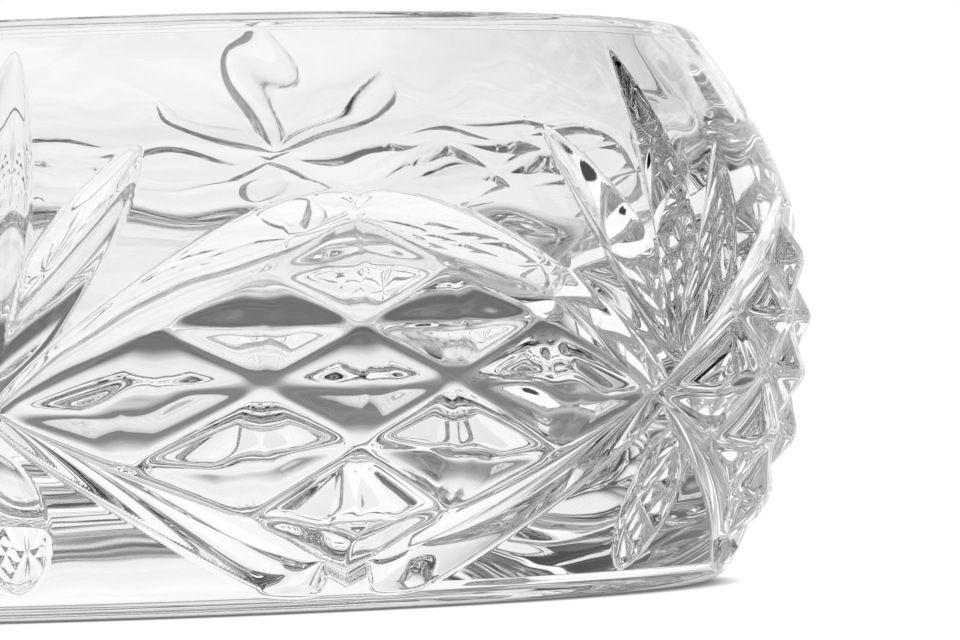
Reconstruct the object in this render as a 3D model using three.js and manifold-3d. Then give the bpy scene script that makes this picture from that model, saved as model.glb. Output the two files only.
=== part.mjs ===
// A low, wide lead-crystal whiskey tumbler: one piece of glass, blown as a smooth barrel
// and then cut. Six diamond fields, six fans of three leaves and six single leaves are cut
// into the outside. The inside is smooth. Millimetres, +Z up, origin at the centre of the foot.
// The angle of a point is counted from -Y, positive towards +X, and a diamond field faces -Y.
import * as THREE from "three";
import { mergeVertices } from "three/addons/utils/BufferGeometryUtils.js";
import Module from "manifold-3d";

// Driving dimensions of the blank.
const HEIGHT = 41.7;
const BELLY_RADIUS = 50; // the barrel's widest radius
const BELLY_HEIGHT = 20.3; // where the barrel is widest
const BARREL_CURVE = 0.0184; // how fast its radius falls away from the belly, in 1/mm
const FOOT_CORNER = 1.6; // height of the rounded corner under the wall
const FOOT_RADIUS = 40.9; // outer edge of the flat standing ring
const RECESS_RADIUS = 33; // inner edge of the standing ring
const RECESS_DEPTH = 0.8; // hollow under the base, inside the standing ring
const LIP_HEIGHT = 1.3; // height of the rounded lip
const LIP_SHOULDER = 0.5; // how far the lip and the foot corner lean in from the wall
const RIM_RADIUS = 41; // top of the lip
const RIM_WALL = 2.4; // thickness of the plain band's wall, at the lip
const WALL_GROWTH = 0.14; // how much thicker it is for each millimetre further down
const SHOULDER_ROUND = 0.6; // how softly the plain band's inside bends into the bowl's
const INSIDE_RADIUS = 44; // the bowl where it is widest
const INSIDE_BELLY = 30; // height from which it narrows on the way down
const TAPER_CURVE = 0.004; // how fast it narrows there, in 1/mm
const FLOOR = 11; // thickness of the base at its centre
const BOWL_HEIGHT = 18; // height of the rounding between floor and wall
const BOWL_WIDTH = 26; // its width
const INSIDE_ROWS = 7; // rows of facets from the lip to that rounding
const SEGMENTS = 60;

// The pattern: everything repeats once for each field.
const FIELDS = 6;
const FIELD_ANGLE = 360 / FIELDS;
const FIELD_TOP = 27.2; // height of a field's top point
const FIELD_FOOT = 2.35; // height of its bottom point
const LONG_SAG = 0.68; // how far the middle of a long groove hangs under a straight line
const MITRE_DEPTH = 1.15; // the grooves' depth under the barrel's surface
const MITRE_SLOPE = 0.263; // rise of a groove's flank for each millimetre sideways
const RUN_OUT = 0.1; // share of a long groove's length over which its ends get shallow
const RUN_OUT_DEPTH = 0.4; // share of its depth that is left at the ends
// Degrees from the field's middle to the places where the grooves that divide it begin and end.
const DIVIDERS = [
  { start: -7.8, end: 19.6 },
  { start: -16.6, end: 9.4 },
];
// The leaves: heights of foot and tip, lean in degrees from foot to tip, width and depth.
const LEAVES = [
  { foot: 16.7, tip: 39.2, lean: 0, width: 4.9, depth: 1.3 },
  { foot: 16.7, tip: 32.6, lean: 12.3, width: 4.4, depth: 1.15 },
  { foot: 16.7, tip: 32.6, lean: -12.3, width: 4.4, depth: 1.15 },
  { foot: 2, tip: 11.7, lean: 0, width: 6.2, depth: 1.25 },
];
const ROUND_FOOT = 0.6; // powers that give a leaf its round foot
const POINTED_TIP = 0.72; // and its pointed tip

const CLEAR = 3; // how far a cutter stands out of the glass

const { PI, sin, cos, min, max } = Math;
const radians = THREE.MathUtils.degToRad;
const lerp = THREE.MathUtils.lerp;
const wasm = await Module();
wasm.setup();

// Outer radius of the uncut barrel at a height.
function barrelRadius(height) {
  return BELLY_RADIUS - BARREL_CURVE * (height - BELLY_HEIGHT) ** 2;
}

// Inner radius of the wall at a height: the smaller of the plain band's and the bowl's, rounded
// where the two meet.
function insideRadius(height) {
  const wall = RIM_WALL + WALL_GROWTH * (HEIGHT - LIP_HEIGHT - height);
  const band = barrelRadius(height) - wall;
  const bowl = INSIDE_RADIUS - TAPER_CURVE * max(INSIDE_BELLY - height, 0) ** 2;
  const share = min(max(0.5 + (band - bowl) / (2 * SHOULDER_ROUND), 0), 1);
  return lerp(band, bowl, share) - SHOULDER_ROUND * share * (1 - share);
}

// Points of a quarter ellipse from one point to another, leaving in the direction of the corner.
function roundCorner(from, corner, to, steps) {
  const points = [];
  for (let i = 0; i <= steps; i++) {
    const a = (i / steps) * (PI / 2);
    const towardsTo = 1 - cos(a);
    const towardsFrom = 1 - sin(a);
    points.push(
      new THREE.Vector2(
        corner.x + (from.x - corner.x) * towardsFrom + (to.x - corner.x) * towardsTo,
        corner.y + (from.y - corner.y) * towardsFrom + (to.y - corner.y) * towardsTo,
      ),
    );
  }
  return points;
}

// The blank's outline as radius and height, from the middle of the underside up the outside,
// over the lip and down the inside to the middle of the floor.
function blankOutline() {
  const at = (x, y) => new THREE.Vector2(x, y);
  const outline = [at(0, RECESS_DEPTH), at(RECESS_RADIUS - 2 * RECESS_DEPTH, RECESS_DEPTH)];
  outline.push(at(RECESS_RADIUS, 0));
  const wallFoot = at(barrelRadius(FOOT_CORNER), FOOT_CORNER);
  const footCorner = at(wallFoot.x - LIP_SHOULDER, 0);
  outline.push(...roundCorner(at(FOOT_RADIUS, 0), footCorner, wallFoot, 4));
  const wallTop = HEIGHT - LIP_HEIGHT;
  const rows = 10;
  for (let i = 1; i < rows; i++) {
    const height = lerp(FOOT_CORNER, wallTop, i / rows);
    outline.push(at(barrelRadius(height), height));
  }
  const outerLip = at(barrelRadius(wallTop), wallTop);
  const rim = at(RIM_RADIUS, HEIGHT);
  outline.push(...roundCorner(outerLip, at(outerLip.x - LIP_SHOULDER, HEIGHT), rim, 4));
  const mouth = at(insideRadius(wallTop), wallTop);
  outline.push(...roundCorner(rim, at(mouth.x, HEIGHT), mouth, 3).slice(1));
  const bowlTop = FLOOR + BOWL_HEIGHT;
  for (let i = 1; i < INSIDE_ROWS; i++) {
    const height = lerp(wallTop, bowlTop, i / INSIDE_ROWS);
    outline.push(at(insideRadius(height), height));
  }
  const wallEnd = at(insideRadius(bowlTop), bowlTop);
  const wallSlope = 2 * TAPER_CURVE * (INSIDE_BELLY - bowlTop);
  const bowlCorner = at(wallEnd.x - wallSlope * BOWL_HEIGHT, FLOOR);
  outline.push(...roundCorner(wallEnd, bowlCorner, at(wallEnd.x - BOWL_WIDTH, FLOOR), 8));
  outline.push(at(0, FLOOR));
  return outline;
}

// A closed three.js geometry as a manifold-3d solid.
function solidOf(geometry) {
  const bare = geometry.clone();
  bare.deleteAttribute("normal");
  bare.deleteAttribute("uv");
  const merged = mergeVertices(bare, 1e-4);
  const corners = merged.index.array;
  const triVerts = [];
  for (let i = 0; i < corners.length; i += 3) {
    const [a, b, c] = corners.slice(i, i + 3);
    if (a !== b && b !== c && c !== a) triVerts.push(a, b, c);
  }
  return new wasm.Manifold(
    new wasm.Mesh({
      numProp: 3,
      vertProperties: merged.attributes.position.array,
      triVerts: new Uint32Array(triVerts),
    }),
  );
}

// A manifold-3d solid as a three.js geometry.
function geometryOf(solid) {
  const { vertProperties, triVerts } = solid.getMesh();
  const geometry = new THREE.BufferGeometry();
  geometry.setAttribute("position", new THREE.BufferAttribute(vertProperties, 3));
  geometry.setIndex(new THREE.BufferAttribute(triVerts, 1));
  geometry.computeVertexNormals();
  return geometry;
}

// The line that a cutting wheel's edge follows over the barrel, straight in angle and height
// but for its sag. depth(t) is how deep the edge is under the barrel's surface, and t goes
// from 0 to 1.
class CutPath extends THREE.Curve {
  constructor(from, to, sag, depth) {
    super();
    Object.assign(this, { from, to, sag, depth });
  }

  place(t) {
    const angle = radians(lerp(this.from.angle, this.to.angle, t));
    const height = lerp(this.from.height, this.to.height, t) - 4 * this.sag * t * (1 - t);
    return { angle, height };
  }

  getPoint(t, target = new THREE.Vector3()) {
    const { angle, height } = this.place(t);
    const radius = barrelRadius(height) - this.depth(t);
    return target.set(radius * sin(angle), -radius * cos(angle), height);
  }

  // The wheel stands square to the barrel: its section's x axis points out of the glass.
  computeFrenetFrames(steps) {
    const frames = { tangents: [], normals: [], binormals: [] };
    const slopeStep = 0.01;
    for (let i = 0; i <= steps; i++) {
      const t = this.getUtoTmapping(i / steps);
      const { angle, height } = this.place(t);
      const slope = (barrelRadius(height + slopeStep) - barrelRadius(height)) / slopeStep;
      const outward = new THREE.Vector3(sin(angle), -cos(angle), -slope).normalize();
      const tangent = this.getTangent(t);
      const across = new THREE.Vector3().crossVectors(tangent, outward).normalize();
      frames.tangents.push(tangent);
      frames.binormals.push(across);
      frames.normals.push(new THREE.Vector3().crossVectors(across, tangent));
    }
    return frames;
  }
}

// A cutter: a section swept along a path over the barrel.
function cutter(section, path, steps) {
  const geometry = new THREE.ExtrudeGeometry(section, {
    steps,
    curveSegments: 6,
    extrudePath: path,
  });
  return solidOf(geometry);
}

// The wheel with a wide V edge that cuts the diamonds.
function mitreSection() {
  const top = MITRE_DEPTH + CLEAR;
  const halfWidth = top / MITRE_SLOPE;
  return new THREE.Shape([
    new THREE.Vector2(0, 0),
    new THREE.Vector2(top, -halfWidth),
    new THREE.Vector2(top, halfWidth),
  ]);
}

// A groove of even depth. One that runs out gets shallower towards both ends.
function mitreCut(from, to, sag, steps, runsOut) {
  const share = (t) => min(1, lerp(RUN_OUT_DEPTH, 1, min(t, 1 - t) / RUN_OUT));
  const depth = (t) => MITRE_DEPTH * (runsOut ? share(t) : 1);
  return cutter(mitreSection(), new CutPath(from, to, sag, depth), steps);
}

// A leaf, cut by a wheel whose round edge is as wide as the leaf where it is deepest.
function leafCut(from, to, width, deepest) {
  const wheelRadius = ((width / 2) ** 2 + deepest ** 2) / (2 * deepest);
  const section = new THREE.Shape().absarc(wheelRadius, 0, wheelRadius, 0, 2 * PI);
  const petal = (t) => t ** ROUND_FOOT * (1 - t) ** POINTED_TIP;
  const widest = petal(ROUND_FOOT / (ROUND_FOOT + POINTED_TIP));
  const depth = (t) => deepest * (petal(t) / widest) ** 2;
  return cutter(section, new CutPath(from, to, 0, depth), 8);
}

// A place on the barrel: degrees from the field's centre line, and height.
function place(angle, height) {
  return { angle, height };
}

// Height of the long groove that falls from the field's top point, at an angle from it.
function longGrooveHeight(angle) {
  const t = angle / FIELD_ANGLE;
  return lerp(FIELD_TOP, FIELD_FOOT, t) - 4 * LONG_SAG * t * (1 - t);
}

// A cut and its mirror image in the field's centre line.
function pair(make) {
  return [make(1), make(-1)];
}

// The cuts of one field: its two long grooves, the four grooves that divide it into nine
// diamonds, and the leaves over and under the crossing at its right-hand corner.
function fieldCuts() {
  const top = place(0, FIELD_TOP);
  const long = pair((side) => {
    const foot = place(side * FIELD_ANGLE, FIELD_FOOT);
    return mitreCut(top, foot, LONG_SAG, 14, true);
  });
  const dividers = DIVIDERS.flatMap(({ start, end }) => {
    const startHeight = longGrooveHeight(-start);
    const endHeight = longGrooveHeight(FIELD_ANGLE - end);
    return pair((side) => {
      const from = place(side * start, startHeight);
      return mitreCut(from, place(side * end, endHeight), 0, 6, false);
    });
  });
  const leaves = LEAVES.map(({ foot, tip, lean, width, depth }) => {
    const from = place(FIELD_ANGLE / 2, foot);
    return leafCut(from, place(FIELD_ANGLE / 2 + lean, tip), width, depth);
  });
  return [...long, ...dividers, ...leaves];
}

// The blank with every field's cuts taken out of it.
function cutGlass() {
  const blank = new THREE.LatheGeometry(blankOutline(), SEGMENTS);
  let glass = solidOf(blank.rotateX(PI / 2));
  const cuts = fieldCuts();
  for (let field = 0; field < FIELDS; field++) {
    for (const cut of cuts) {
      glass = glass.subtract(cut.rotate([0, 0, field * FIELD_ANGLE]));
    }
  }
  return geometryOf(glass);
}

const crystal = new THREE.MeshStandardMaterial({
  color: 0xf4f6f6,
  roughness: 0.03,
  metalness: 0,
  transparent: true,
  opacity: 0.35,
});

const tumbler = new THREE.Group();
const glassBody = new THREE.Mesh(cutGlass(), crystal);
glassBody.name = "glass_body";
tumbler.add(glassBody);

export default tumbler;
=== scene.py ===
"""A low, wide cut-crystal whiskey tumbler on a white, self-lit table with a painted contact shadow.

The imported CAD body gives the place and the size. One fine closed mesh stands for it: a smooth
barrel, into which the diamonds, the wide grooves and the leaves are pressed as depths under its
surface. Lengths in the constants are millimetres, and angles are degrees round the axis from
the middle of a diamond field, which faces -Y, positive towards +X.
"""

import math

import bpy
import numpy as np
from mathutils import Matrix, Vector


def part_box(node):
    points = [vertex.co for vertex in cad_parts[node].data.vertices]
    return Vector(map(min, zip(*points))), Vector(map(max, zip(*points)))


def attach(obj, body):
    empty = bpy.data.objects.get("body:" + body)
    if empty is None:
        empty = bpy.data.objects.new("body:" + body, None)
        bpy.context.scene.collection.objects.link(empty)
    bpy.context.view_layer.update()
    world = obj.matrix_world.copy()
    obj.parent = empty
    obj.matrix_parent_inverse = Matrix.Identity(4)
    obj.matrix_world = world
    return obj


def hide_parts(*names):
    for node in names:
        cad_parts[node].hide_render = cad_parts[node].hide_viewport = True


MM = 0.001

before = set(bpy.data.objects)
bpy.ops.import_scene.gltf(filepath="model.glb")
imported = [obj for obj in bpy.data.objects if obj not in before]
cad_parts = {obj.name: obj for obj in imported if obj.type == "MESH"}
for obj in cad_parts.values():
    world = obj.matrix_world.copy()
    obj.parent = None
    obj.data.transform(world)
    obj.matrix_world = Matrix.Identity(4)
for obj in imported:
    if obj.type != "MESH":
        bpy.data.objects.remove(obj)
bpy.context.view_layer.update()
node_low, node_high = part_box("glass_body")

# The blank.
HEIGHT = node_high.z / MM
BELLY_RADIUS = 50.0
BELLY_HEIGHT = 20.3
BARREL_CURVE = 0.0184  # how fast the radius falls away from the belly, in 1/mm
FOOT_CORNER = 1.6
FOOT_RADIUS = 40.9
RECESS_RADIUS = 33.0
RECESS_DEPTH = 0.8
RECESS_EDGE = 4.0  # width of the curve from the hollow to the standing ring
LIP_HEIGHT = 1.3
LIP_SHOULDER = 0.5  # how far the lip and the foot corner lean in from the wall
RIM_RADIUS = 41.0
RIM_WALL = 2.4  # the plain band's wall, at the lip
WALL_GROWTH = 0.14  # how much thicker it is for each millimetre further down
SHOULDER_ROUND = 0.6  # how softly the plain band's inside bends into the bowl's
INSIDE_RADIUS = 44.0  # of the bowl, down to INSIDE_BELLY, and it narrows from there
INSIDE_BELLY = 30.0
TAPER_CURVE = 0.004
FLOOR = 11.0
CORNER_HEIGHT = 18.0
CORNER_WIDTH = 26.0

# The diamond fields.
FIELDS = 6
FIELD_ANGLE = 360.0 / FIELDS
HALF_FIELD = FIELD_ANGLE / 2
FIELD_TOP = 27.2
FIELD_FOOT = 2.35
CROSSING = 14.1  # height where two fields touch
GROOVE_DEPTH = 1.15
GROOVE_ROUND = 0.30  # how far the bottom of a groove is rounded
FLANK_SLOPE = 0.30  # how steeply a groove's side rises
FLANK_CROWN = 0.0157  # and how much steeper it gets further out, in 1/mm
CREST_ROUND = 0.35  # rounding of a diamond's crests beside the grooves
SOFT_CREST_ROUND = 1.6  # and at its top
BULGE = 1.1  # how far the diamonds swell above what the wheel left, where they are highest
PROUD = 0.3  # the most that they stand out of the barrel
NO_CUT = -9.0  # a depth that stands for no cut at all
# Middle height, fall in mm for each degree, and bend of the two grooves that divide a field.
DIVIDERS = ((19.66, 0.512, 0.0010), (11.12, 0.533, -0.0005))
# Fall of a field's upper edge and rise of its lower edge, in mm for each degree.
UPPER_FALL = 0.45
LOWER_RISE = 0.42
# The long grooves are shallower at the top and the foot of a field: the share of the depth that
# is left there, the rest of it, and the degrees over which they reach the whole depth.
RUN_OUT_DEPTH = 0.55
RUN_OUT_REST = 0.45
RUN_OUT_ANGLE = 6.0
# The outer side of the long grooves: its least and greatest width over a field and under it, and
# the degrees that it takes up under the field.
UPPER_ARM = (0.9, 3.8)
LOWER_ARM = (0.2, 4.5)
LOWER_ARM_ANGLE = 28.0
ARM_ROUND = 1.6  # power that gives that side its hollow section

# The leaves: foot and tip heights, lean in degrees from foot to tip, width and depth. They were
# cut by hand and differ a little.
LEAVES = (
    (16.7, 39.2, 1.2, 4.9, 1.75),
    (16.7, 32.3, 12.3, 4.4, 1.55),
    (16.7, 33.0, -12.3, 4.4, 1.55),
    (2.0, 11.7, 0.0, 6.2, 1.60),
)
ROUND_FOOT = 0.6  # powers that give a leaf its round foot
POINTED_TIP = 0.72  # and its pointed tip
PETAL_SCALE = 2.484  # makes it as wide as its width says, at its widest
# How far each fan of leaves has turned from its crossing, in degrees.
FAN_TURNS = (1.6, 0.5, -0.6, 0.7, -0.4, 0.0)
EDGE_ROUND = 0.07  # fire polish on the edges of the cuts
LEAF_EDGE_ROUND = 0.05  # and where a leaf runs into another cut
OUTSIDE_RIPPLE = 0.006  # size of the faint waves in the glass, outside
INSIDE_RIPPLE = 0.12  # and inside
INSIDE_RIPPLE_RADIUS = 30.0  # about where they begin to fade towards the middle

# The mesh.
COLUMNS = 1440
WALL_ROWS = 250
COARSE = 4  # columns of the outside for each column of the inside and the underside

# The camera, from the middle of the foot.
CAMERA_DISTANCE = 459.0
CAMERA_AZIMUTH = -17.17
CAMERA_HEIGHT = 15.04
CAMERA_HEADING = 20.29
CAMERA_PITCH = 0.653
CAMERA_ROLL = -1.902
CAMERA_LENS = 226.3
SENSOR_WIDTH = 36.0

# The light: brightness by the sine of the height over the horizon, on the near and far side.
FAR_SKY = ((0.0, 1.02), (0.16, 1.0), (0.24, 0.95), (0.48, 0.90), (0.54, 0.95), (0.86, 1.0), (0.92, 0.3))
NEAR_SKY = ((0.0, 1.02), (0.06, 1.0), (0.09, 0.0), (0.84, 0.0), (0.88, 1.0), (0.93, 1.0), (0.96, 0.2))
SKY_CHANGE = (0.60, 0.85)  # cosine of the angle from the camera's heading, from near to far side
# The table's brightness by the distance from the middle of the glass, with painted shade: nearly
# white under the middle, a dark painted contact shadow where the foot touches, and white round it.
TABLE_PAINTED_SHADOW = ((0.0, 0.95), (27.0, 0.9), (34.0, 0.17), (41.0, 0.14), (45.0, 1.0))
TABLE_REACH = 50.0
TABLE_HALF_SIZE = 6.0  # in metres
TABLE_DROP = 0.0001  # in metres, so that the foot doesn't touch it
REFRACTIVE_INDEX = 1.58
# The colour sockets of Blender's mix node, which share their names with its other sockets.
MIX_NEAR, MIX_FAR, MIX_RESULT = 6, 7, 2


def smooth_max(a, b, reach):
    """The larger of a and b, rounded where they differ by less than reach."""
    share = np.clip(0.5 + 0.5 * (a - b) / reach, 0, 1)
    return b + (a - b) * share + reach * share * (1 - share)


def barrel_radius(height):
    """Outer radius of the uncut barrel."""
    from_belly = height - BELLY_HEIGHT
    return BELLY_RADIUS - BARREL_CURVE * from_belly**2


def barrel_slope(height):
    """Change of the barrel's radius for each millimetre of height."""
    return -2 * BARREL_CURVE * (height - BELLY_HEIGHT)


def flank(distance, depth):
    """Depth of a groove's side at a distance from the line of its bottom."""
    across = np.sqrt(distance**2 + GROOVE_ROUND**2) - GROOVE_ROUND
    return depth - FLANK_SLOPE * across - FLANK_CROWN * across**2


def long_groove_depth(angle):
    """Depth of the long grooves, which run out at the top and the foot of a field."""
    rest = np.clip(angle / RUN_OUT_ANGLE, 0, 1) ** 0.7
    return GROOVE_DEPTH * (RUN_OUT_DEPTH + RUN_OUT_REST * rest)


def upper_edge(angle):
    """Height of a field's upper edge."""
    return FIELD_TOP - (FIELD_TOP - CROSSING) * angle / HALF_FIELD


def lower_edge(angle):
    """Height of a field's lower edge."""
    return FIELD_FOOT + (CROSSING - FIELD_FOOT) * angle / HALF_FIELD


def divider(which, angle):
    """Height of one of the grooves that divide a field."""
    middle, fall, bend = DIVIDERS[which]
    return middle - fall * angle + bend * angle**2


def mm_across(slope_per_degree):
    """Share of a height difference that is distance square to a line of that slope."""
    slope = slope_per_degree / math.radians(BELLY_RADIUS)
    return 1 / math.sqrt(1 + slope**2)


def field_depth(angle, height):
    """Depth of the diamonds. angle is signed, and the point lies inside the field."""
    folded = np.abs(angle)
    depth = long_groove_depth(folded)
    none = np.full_like(height, NO_CUT)
    above = {1: none.copy(), -1: none.copy()}
    below = {1: none.copy(), -1: none.copy()}
    for side in (1, -1):
        s = side * angle
        lines = [
            (upper_edge(s), UPPER_FALL, depth),
            (divider(0, s), DIVIDERS[0][1], GROOVE_DEPTH),
            (divider(1, s), DIVIDERS[1][1], GROOVE_DEPTH),
            (lower_edge(-s), LOWER_RISE, depth),
        ]
        for line, slope, line_depth in lines:
            away = (line - height) * mm_across(slope)
            cut = flank(np.abs(away), line_depth)
            above[side] = np.where(away >= 0, np.maximum(above[side], cut), above[side])
            below[side] = np.where(away < 0, np.maximum(below[side], cut), below[side])
    halves = []
    for pair in (above, below):
        rise = np.clip(1 - np.maximum(pair[1], pair[-1]) / GROOVE_DEPTH, 0, 1)
        reach = CREST_ROUND + (SOFT_CREST_ROUND - CREST_ROUND) * rise
        halves.append(smooth_max(pair[1], pair[-1], reach))
    depth = smooth_max(halves[0], halves[1], CREST_ROUND)
    rise = np.clip(1 - depth / GROOVE_DEPTH, 0, 1)
    swollen = depth - BULGE * rise**1.5
    return smooth_max(swollen, np.full_like(depth, -PROUD), PROUD)


def upper_width(folded):
    """Width of the long grooves' outer side, over a field."""
    least, greatest = UPPER_ARM
    share = np.clip(folded / HALF_FIELD, 0, 1)
    return least + (greatest - least) * np.sin(np.pi * share**0.8) ** 0.8


def lower_width(folded):
    """Width of the long grooves' outer side, under a field, which ends in a round tip."""
    least, greatest = LOWER_ARM
    share = np.clip((HALF_FIELD - folded) / LOWER_ARM_ANGLE, 0.004, 0.999)
    return least + (greatest - least) * share**0.55 * np.sqrt(1 - share**6)


def arm_depth(folded, height):
    """Depth of the wide outer side of the long grooves, over and under the fields."""
    depth = long_groove_depth(folded)
    over = (height - upper_edge(folded)) * mm_across(UPPER_FALL)
    under = (lower_edge(folded) - height) * mm_across(LOWER_RISE)
    upper = depth * (1 - np.clip(over / upper_width(folded), 0, 3) ** ARM_ROUND)
    lower = depth * (1 - np.clip(under / lower_width(folded), 0, 3) ** ARM_ROUND)
    return np.where(height > upper_edge(folded), upper, lower)


def leaf_half_width(along, width):
    """Half the width of a leaf, from its round foot, at 0, to its pointed tip, at 1."""
    return width / 2 * PETAL_SCALE * along**ROUND_FOOT * (1 - along) ** POINTED_TIP


def leaf_depth(angle, height, leaf):
    """Depth of a leaf. angle is counted from the crossing between two fields."""
    foot, tip, lean, width, deepest = leaf
    per_degree = math.radians(BELLY_RADIUS)
    along_x = lean * per_degree
    along_z = tip - foot
    length = math.hypot(along_x, along_z)
    x = angle * per_degree
    z = height - foot
    along = (x * along_x + z * along_z) / length**2
    across = (x * along_z - z * along_x) / length
    inside = np.clip(along, 0.0005, 0.9995)
    half_width = leaf_half_width(inside, width)
    share = half_width / (width / 2)
    away = np.hypot(across, (along - inside) * length)
    return deepest * share**1.3 * (1 - (away / np.maximum(half_width, 0.05)) ** 2)


def ripple(angle, height, size):
    """The faint waves that fire polishing leaves, which close on themselves round the glass."""
    turn = np.radians(angle)
    waves = (
        (7, 0.31, 0.4, 0.45),
        (11, -0.23, 2.1, 0.35),
        (19, 0.47, 1.3, 0.25),
        (29, -0.61, 5.0, 0.15),
        (43, 0.83, 3.7, 0.10),
    )
    total = np.zeros_like(height)
    for around, up, start, share in waves:
        total += share * np.sin(around * turn + up * height + start)
    return size * total


def cut_depth(angle, height):
    """Depth of the cut surface under the barrel, anywhere on the outside."""
    signed = (angle + HALF_FIELD) % FIELD_ANGLE - HALF_FIELD
    folded = np.abs(signed)
    in_field = (height < upper_edge(folded)) & (height > lower_edge(folded))
    depth = np.where(in_field, field_depth(signed, height), arm_depth(folded, height))
    turn = np.array(FAN_TURNS)[(angle // FIELD_ANGLE).astype(int) % FIELDS]
    from_crossing = (angle % FIELD_ANGLE) - HALF_FIELD - turn
    around = depth
    for leaf in LEAVES:
        around = smooth_max(around, leaf_depth(from_crossing, height, leaf), LEAF_EDGE_ROUND)
    around = smooth_max(around, np.zeros_like(depth), EDGE_ROUND)
    return np.where(in_field, depth, around)


def quarter(start, corner, end, steps):
    """Points of a quarter ellipse from start to end, which leaves towards the corner."""
    turn = np.linspace(0, math.pi / 2, steps + 1)[:, None]
    start, corner, end = (np.array(p, float) for p in (start, corner, end))
    return corner + (start - corner) * (1 - np.sin(turn)) + (end - corner) * (1 - np.cos(turn))


def outside_profile():
    """Radius, height and share of the cuts, from the standing ring up to the rim."""
    wall_foot = (barrel_radius(FOOT_CORNER), FOOT_CORNER)
    wall_top = HEIGHT - LIP_HEIGHT
    outer_lip = (barrel_radius(wall_top), wall_top)
    foot = quarter((FOOT_RADIUS, 0), (wall_foot[0] - LIP_SHOULDER, 0), wall_foot, 10)
    heights = np.linspace(FOOT_CORNER, wall_top, WALL_ROWS + 1)[1:-1]
    wall = np.column_stack([barrel_radius(heights), heights])
    lip = quarter(outer_lip, (outer_lip[0] - LIP_SHOULDER, HEIGHT), (RIM_RADIUS, HEIGHT), 12)
    return np.vstack([foot, wall, lip])


def inside_radius(height):
    """Radius of the inside wall."""
    under = np.maximum(INSIDE_BELLY - height, 0)
    bowl = INSIDE_RADIUS - TAPER_CURVE * under**2
    wall = RIM_WALL + WALL_GROWTH * (HEIGHT - LIP_HEIGHT - height)
    return -smooth_max(-bowl, wall - barrel_radius(height), SHOULDER_ROUND)


def inside_profile():
    """Radius and height from the rim down to the middle of the floor."""
    wall_top = HEIGHT - LIP_HEIGHT
    corner_top = FLOOR + CORNER_HEIGHT
    mouth_radius = inside_radius(wall_top)
    lip = quarter((RIM_RADIUS, HEIGHT), (mouth_radius, HEIGHT), (mouth_radius, wall_top), 8)
    heights = np.linspace(wall_top, corner_top, 40)[1:-1]
    wall = np.column_stack([inside_radius(heights), heights])
    wall_end = (float(inside_radius(corner_top)), corner_top)
    floor_edge = (wall_end[0] - CORNER_WIDTH, FLOOR)
    corner_slope = 0.0
    if corner_top < INSIDE_BELLY:
        corner_slope = 2 * TAPER_CURVE * (INSIDE_BELLY - corner_top)
    corner_point = (wall_end[0] - corner_slope * CORNER_HEIGHT, FLOOR)
    corner = quarter(wall_end, corner_point, floor_edge, 24)
    radii = np.linspace(floor_edge[0], 0, 16)[1:]
    floor = np.column_stack([radii, np.full_like(radii, FLOOR)])
    return np.vstack([lip[1:], wall, corner, floor])


def underside_profile():
    """Radius and height from the middle of the underside out to the standing ring."""
    flat_radius = RECESS_RADIUS - RECESS_EDGE
    radii = np.linspace(0, flat_radius, 12)
    middle = np.column_stack([radii, np.full_like(radii, RECESS_DEPTH)])
    step = np.linspace(0, 1, 9)[1:]
    ease = step * step * (3 - 2 * step)
    edge = np.column_stack([flat_radius + RECESS_EDGE * step, RECESS_DEPTH * (1 - ease)])
    ring = np.column_stack([np.linspace(RECESS_RADIUS, FOOT_RADIUS, 5)[1:-1], np.zeros(3)])
    return np.vstack([middle, edge, ring])


def ring_points(profile, columns, outside):
    """Points of every ring of a profile, in metres."""
    angle = np.arange(columns) * 360.0 / columns
    turn = np.radians(angle)[None, :]
    radius, height = profile[:, :1], profile[:, 1:]
    angle, height = np.broadcast_arrays(angle[None, :], height)
    if outside:
        slope = barrel_slope(height)
        square = np.sqrt(1 + slope**2)
        fade = np.clip(np.minimum(height, HEIGHT - height) / FOOT_CORNER, 0, 1)
        depth = (cut_depth(angle, height) + ripple(angle, height, OUTSIDE_RIPPLE)) * fade
        radius = radius - depth / square
        height = height + depth * slope / square
    else:
        fade = np.clip(radius / INSIDE_RIPPLE_RADIUS - 0.1, 0, 1)
        radius = radius + ripple(angle, height, INSIDE_RIPPLE) * fade
    x, y = radius * np.sin(turn), -radius * np.cos(turn)
    return np.stack([x, y, np.broadcast_to(height, x.shape)], axis=-1) * MM


def band(first, second, columns):
    """Quads between two rings of the same number of columns."""
    here = np.arange(columns)
    after = (here + 1) % columns
    return np.column_stack([first + here, first + after, second + after, second + here])


def fan(fine, coarse, columns, flip):
    """Triangles between a fine ring and a coarse one."""
    faces = []
    many = columns * COARSE
    for c in range(columns):
        start = c * COARSE
        for i in range(COARSE):
            a, b = fine + start + i, fine + (start + i + 1) % many
            faces.append((a, b, coarse + c if i < COARSE // 2 else coarse + (c + 1) % columns))
        middle = fine + start + COARSE // 2
        faces.append((middle, coarse + (c + 1) % columns, coarse + c))
    return [f[::-1] for f in faces] if flip else faces


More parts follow.
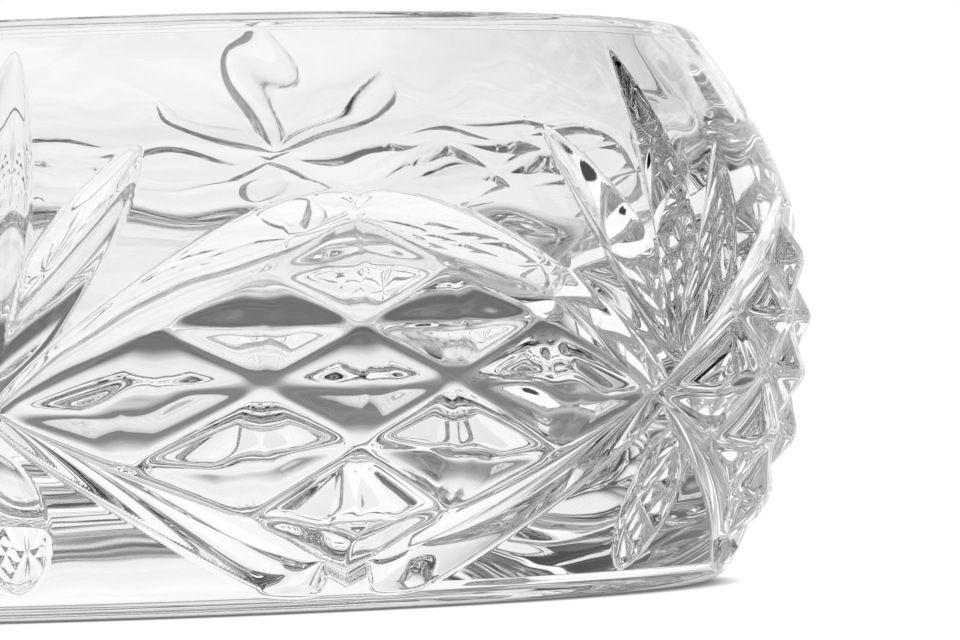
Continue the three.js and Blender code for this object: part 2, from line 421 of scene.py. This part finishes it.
def tumbler_mesh():
    """The whole glass as one closed mesh, from the middle of the underside to the floor's."""
    coarse_columns = COLUMNS // COARSE
    under = ring_points(underside_profile()[1:], coarse_columns, False)
    outer = ring_points(outside_profile(), COLUMNS, True)
    inner = ring_points(inside_profile()[:-1], coarse_columns, False)
    points = [np.array([[0, 0, RECESS_DEPTH * MM]])]
    points += [part.reshape(-1, 3) for part in (under, outer, inner)]
    points.append(np.array([[0, 0, FLOOR * MM]]))
    starts = np.cumsum([0] + [len(p) for p in points])
    vertices = np.vstack(points)
    faces = []
    under_at, outer_at, inner_at, last = starts[1], starts[2], starts[3], starts[4]
    for c in range(coarse_columns):
        after = (c + 1) % coarse_columns
        faces.append((0, under_at + after, under_at + c))
        end = last - coarse_columns
        faces.append((end + c, end + after, last))
    for row in range(len(under) - 1):
        first = under_at + row * coarse_columns
        faces += band(first, first + coarse_columns, coarse_columns).tolist()
    for row in range(len(outer) - 1):
        first = outer_at + row * COLUMNS
        faces += band(first, first + COLUMNS, COLUMNS).tolist()
    for row in range(len(inner) - 1):
        first = inner_at + row * coarse_columns
        faces += band(first, first + coarse_columns, coarse_columns).tolist()
    last_under = under_at + (len(under) - 1) * coarse_columns
    last_outer = outer_at + (len(outer) - 1) * COLUMNS
    faces += fan(outer_at, last_under, coarse_columns, True)
    faces += fan(last_outer, inner_at, coarse_columns, False)
    mesh = bpy.data.meshes.new("crystal_tumbler")
    mesh.from_pydata(vertices.tolist(), [], faces)
    mesh.polygons.foreach_set("use_smooth", [True] * len(mesh.polygons))
    mesh.validate()
    mesh.update()
    return mesh


def crystal_material():
    """Clear lead crystal, with a very faint change of tint and polish."""
    material = bpy.data.materials.new("lead_crystal")
    material.use_nodes = True
    nodes, links = material.node_tree.nodes, material.node_tree.links
    shader = nodes["Principled BSDF"]
    shader.inputs["Transmission Weight"].default_value = 1.0
    shader.inputs["IOR"].default_value = REFRACTIVE_INDEX
    where = nodes.new("ShaderNodeTexCoord")
    noise = nodes.new("ShaderNodeTexNoise")
    noise.inputs["Scale"].default_value = 140.0
    noise.inputs["Detail"].default_value = 3.0
    links.new(where.outputs["Object"], noise.inputs["Vector"])
    tint = nodes.new("ShaderNodeValToRGB")
    tint.color_ramp.elements[0].color = (0.955, 0.959, 0.960, 1)
    tint.color_ramp.elements[1].color = (0.985, 0.988, 0.989, 1)
    links.new(noise.outputs["Fac"], tint.inputs["Fac"])
    links.new(tint.outputs["Color"], shader.inputs["Base Color"])
    polish = nodes.new("ShaderNodeMapRange")
    polish.inputs["To Min"].default_value = 0.0
    polish.inputs["To Max"].default_value = 0.02
    links.new(noise.outputs["Fac"], polish.inputs["Value"])
    links.new(polish.outputs["Result"], shader.inputs["Roughness"])
    return material


def build_tumbler():
    tumbler = bpy.data.objects.new("crystal_tumbler", tumbler_mesh())
    bpy.context.scene.collection.objects.link(tumbler)
    tumbler.data.materials.append(crystal_material())
    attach(tumbler, "root")
    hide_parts("glass_body")


def build_floor():
    """A white table that lights itself, with a painted contact shadow under the glass's foot."""
    size = TABLE_HALF_SIZE
    corners = [(-size, -size, 0), (size, -size, 0), (size, size, 0), (-size, size, 0)]
    mesh = bpy.data.meshes.new("light_table")
    mesh.from_pydata(corners, [], [(0, 1, 2, 3)])
    floor = bpy.data.objects.new("light_table", mesh)
    bpy.context.scene.collection.objects.link(floor)
    material = bpy.data.materials.new("white_table_painted_shadow")
    material.use_nodes = True
    nodes, links = material.node_tree.nodes, material.node_tree.links
    shader = nodes["Principled BSDF"]
    shader.inputs["Base Color"].default_value = (0.08, 0.08, 0.08, 1)
    shader.inputs["Roughness"].default_value = 0.9
    where = nodes.new("ShaderNodeTexCoord")
    away = nodes.new("ShaderNodeVectorMath")
    away.operation = "LENGTH"
    links.new(where.outputs["Object"], away.inputs[0])
    share = nodes.new("ShaderNodeMath")
    share.operation = "DIVIDE"
    share.inputs[1].default_value = TABLE_REACH * MM
    links.new(away.outputs["Value"], share.inputs[0])
    # Painted shadow: the table's glow is dimmed under the glass's foot, by the distance from its
    # middle.
    shade = light_ramp(nodes, [(radius / TABLE_REACH, level) for radius, level in TABLE_PAINTED_SHADOW])
    links.new(share.outputs["Value"], shade.inputs["Fac"])
    links.new(shade.outputs["Color"], shader.inputs["Emission Strength"])
    shader.inputs["Emission Color"].default_value = (1, 1, 1, 1)
    mesh.materials.append(material)
    floor.location.z = -TABLE_DROP


def light_ramp(nodes, stops):
    """A node that gives the brightness at a place from 0 to 1, soft between its stops."""
    ramp = nodes.new("ShaderNodeValToRGB")
    ramp.color_ramp.interpolation = "EASE"
    while len(ramp.color_ramp.elements) < len(stops):
        ramp.color_ramp.elements.new(0.5)
    for element, (place, level) in zip(ramp.color_ramp.elements, stops):
        element.position = place
        element.color = (level, level, level, 1)
    return ramp


def build_light():
    """Studio light: a bright backdrop, a soft light overhead, and a dark room on the near side."""
    world = bpy.data.worlds.new("studio")
    bpy.context.scene.world = world
    world.use_nodes = True
    nodes, links = world.node_tree.nodes, world.node_tree.links
    background = nodes["Background"]
    where = nodes.new("ShaderNodeTexCoord")
    split = nodes.new("ShaderNodeSeparateXYZ")
    links.new(where.outputs["Generated"], split.inputs["Vector"])
    ramps = [light_ramp(nodes, stops) for stops in (NEAR_SKY, FAR_SKY)]
    for ramp in ramps:
        links.new(split.outputs["Z"], ramp.inputs["Fac"])
    away = nodes.new("ShaderNodeVectorMath")
    away.operation = "DOT_PRODUCT"
    heading = math.radians(CAMERA_HEADING)
    away.inputs[1].default_value = (math.sin(heading), math.cos(heading), 0)
    links.new(where.outputs["Generated"], away.inputs[0])
    side = nodes.new("ShaderNodeMapRange")
    side.interpolation_type = "SMOOTHSTEP"
    side.inputs["From Min"].default_value = SKY_CHANGE[0]
    side.inputs["From Max"].default_value = SKY_CHANGE[1]
    links.new(away.outputs["Value"], side.inputs["Value"])
    mix = nodes.new("ShaderNodeMix")
    mix.data_type = "RGBA"
    links.new(side.outputs["Result"], mix.inputs["Factor"])
    links.new(ramps[0].outputs["Color"], mix.inputs[MIX_NEAR])
    links.new(ramps[1].outputs["Color"], mix.inputs[MIX_FAR])
    links.new(mix.outputs[MIX_RESULT], background.inputs["Color"])


def build_camera():
    """The camera's place and direction, with the glass standing at the origin."""
    azimuth = math.radians(CAMERA_AZIMUTH)
    place = Vector((math.sin(azimuth), -math.cos(azimuth), 0)) * CAMERA_DISTANCE
    place.z = CAMERA_HEIGHT
    heading, pitch, roll = (
        math.radians(x) for x in (CAMERA_HEADING, CAMERA_PITCH, CAMERA_ROLL)
    )
    forward = Vector(
        (math.sin(heading) * math.cos(pitch), math.cos(heading) * math.cos(pitch), math.sin(pitch))
    )
    level = Vector((math.cos(heading), -math.sin(heading), 0))
    right = level * math.cos(roll) + level.cross(forward) * math.sin(roll)
    up = right.cross(forward)
    camera = bpy.data.objects.new("camera", bpy.data.cameras.new("camera"))
    bpy.context.scene.collection.objects.link(camera)
    camera.data.lens = CAMERA_LENS
    camera.data.sensor_width = SENSOR_WIDTH
    camera.data.clip_start = 0.01
    camera.data.clip_end = 50
    camera.matrix_world = Matrix.Translation(place * MM) @ Matrix(
        (
            (right.x, up.x, -forward.x, 0),
            (right.y, up.y, -forward.y, 0),
            (right.z, up.z, -forward.z, 0),
            (0, 0, 0, 1),
        )
    )
    bpy.context.scene.camera = camera


def set_render():
    scene = bpy.context.scene
    scene.view_settings.view_transform = "Standard"
    scene.cycles.max_bounces = 32
    scene.cycles.transmission_bounces = 24
    scene.cycles.glossy_bounces = 12
    scene.cycles.caustics_reflective = True
    scene.cycles.caustics_refractive = True


build_camera()
build_tumbler()
build_floor()
build_light()
set_render()
